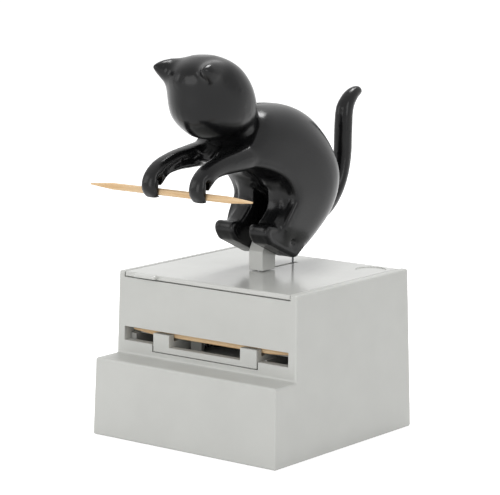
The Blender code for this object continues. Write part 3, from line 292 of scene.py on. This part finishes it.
def add_skin(node):
    """A finer skin over a soft solid: its facets are faired away and its edges stay."""
    source = welded(NODES[node])
    if node == "cat_head":
        add_neck(source)
    skin = place_in_scene(node + "_skin", source)
    mesh_evenly(skin)
    push_out(skin, SKIN_CLOSING[node])
    mesh_evenly(skin)
    push_out(skin, -SKIN_CLOSING[node])
    mesh_evenly(skin)
    smooth(skin, SKIN_STEPS[node])
    crisp = shaped(skin)
    smooth(skin, FAIR_STEPS)
    fair = shaped(skin)
    kept = vectors_of(crisp.vertices, "co")
    faired = vectors_of(fair.vertices, "co")
    moved = np.linalg.norm(faired - kept, axis=1)
    edge = np.clip((moved - FAIR_LIMITS[0]) / (FAIR_LIMITS[1] - FAIR_LIMITS[0]), 0, 1)[:, None]
    shape = faired + (kept - faired) * edge
    shape += vectors_of(crisp.vertex_normals, "vector") * SKIN_GROWTH
    crisp.vertices.foreach_set("co", shape.astype(np.float32).ravel())
    crisp.update()
    skin.modifiers.clear()
    skin.data = crisp
    crisp.materials.clear()
    crisp.materials.append(CAT_BLACK)
    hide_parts(node)
    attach(skin, "cat")


# Stage
def seen_directly(tree):
    """1 for the rays that show a surface itself, also in gloss and glass, and 0 for its light."""
    path = tree.nodes.new("ShaderNodeLightPath")
    seen = path.outputs["Is Camera Ray"]
    for ray in ("Is Glossy Ray", "Is Transmission Ray"):
        either = tree.nodes.new("ShaderNodeMath")
        either.operation = "MAXIMUM"
        tree.links.new(seen, either.inputs[0])
        tree.links.new(path.outputs[ray], either.inputs[1])
        seen = either.outputs[0]
    return seen


def floor_white():
    """A pale matt floor that keeps shadows and is lifted to white where it is seen."""
    made = bpy.data.materials.new("floor_white")
    made.use_nodes = True
    tree = made.node_tree
    tree.nodes.clear()
    out = tree.nodes.new("ShaderNodeOutputMaterial")
    matt = tree.nodes.new("ShaderNodeBsdfDiffuse")
    matt.inputs["Color"].default_value = FLOOR_COLOUR
    level = tree.nodes.new("ShaderNodeMath")
    level.operation = "MULTIPLY"
    level.inputs[1].default_value = FLOOR_LIFT
    lift = tree.nodes.new("ShaderNodeEmission")
    both = tree.nodes.new("ShaderNodeAddShader")
    tree.links.new(seen_directly(tree), level.inputs[0])
    tree.links.new(level.outputs[0], lift.inputs["Strength"])
    tree.links.new(matt.outputs[0], both.inputs[0])
    tree.links.new(lift.outputs[0], both.inputs[1])
    tree.links.new(both.outputs[0], out.inputs["Surface"])
    return made


def add_floor():
    mesh = bpy.data.meshes.new("floor")
    corners = [(x * FLOOR_REACH, y * FLOOR_REACH, 0) for x, y in FLOOR_CORNERS]
    mesh.from_pydata(corners, [], [range(len(corners))])
    mesh.materials.append(floor_white())
    place_in_scene("floor", mesh)


def add_world():
    """An even fill light, and plain white behind the object."""
    world = bpy.data.worlds.new("studio")
    bpy.context.scene.world = world
    world.use_nodes = True
    tree = world.node_tree
    tree.nodes.clear()
    out = tree.nodes.new("ShaderNodeOutputWorld")
    fill = tree.nodes.new("ShaderNodeBackground")
    fill.inputs["Color"].default_value = WHITE
    fill.inputs["Strength"].default_value = WORLD_FILL
    backdrop = tree.nodes.new("ShaderNodeBackground")
    backdrop.inputs["Color"].default_value = WHITE
    mix = tree.nodes.new("ShaderNodeMixShader")
    tree.links.new(seen_directly(tree), mix.inputs[0])
    tree.links.new(fill.outputs[0], mix.inputs[1])
    tree.links.new(backdrop.outputs[0], mix.inputs[2])
    tree.links.new(mix.outputs[0], out.inputs["Surface"])


def add_softbox(name, place, size, power):
    lamp = bpy.data.lights.new(name, "AREA")
    lamp.shape = "RECTANGLE"
    lamp.size, lamp.size_y = size
    lamp.energy = power
    made = place_in_scene(name, lamp)
    made.location = place
    made.rotation_euler = (Vector(LAMP_AIM) - Vector(place)).to_track_quat("-Z", "Y").to_euler()


def add_camera():
    lens = bpy.data.cameras.new("camera")
    lens.sensor_width = CAMERA_SENSOR
    lens.lens = CAMERA_LENS
    lens.clip_start = CAMERA_NEAR
    made = place_in_scene("camera", lens)
    turn = Matrix((CAMERA_RIGHT, CAMERA_UP, -Vector(CAMERA_AHEAD))).transposed()
    made.matrix_world = Matrix.Translation(CAMERA_PLACE) @ turn.to_4x4()
    bpy.context.scene.camera = made


def main():
    add_camera()
    for name, node in NODES.items():
        give(node, finish_of(name))
    for name in SKIN_STEPS:
        add_skin(name)
    add_floor()
    add_world()
    for name, place, size, power in LAMPS:
        add_softbox(name, place, size, power)
    bpy.context.scene.view_settings.view_transform = "Standard"


main()
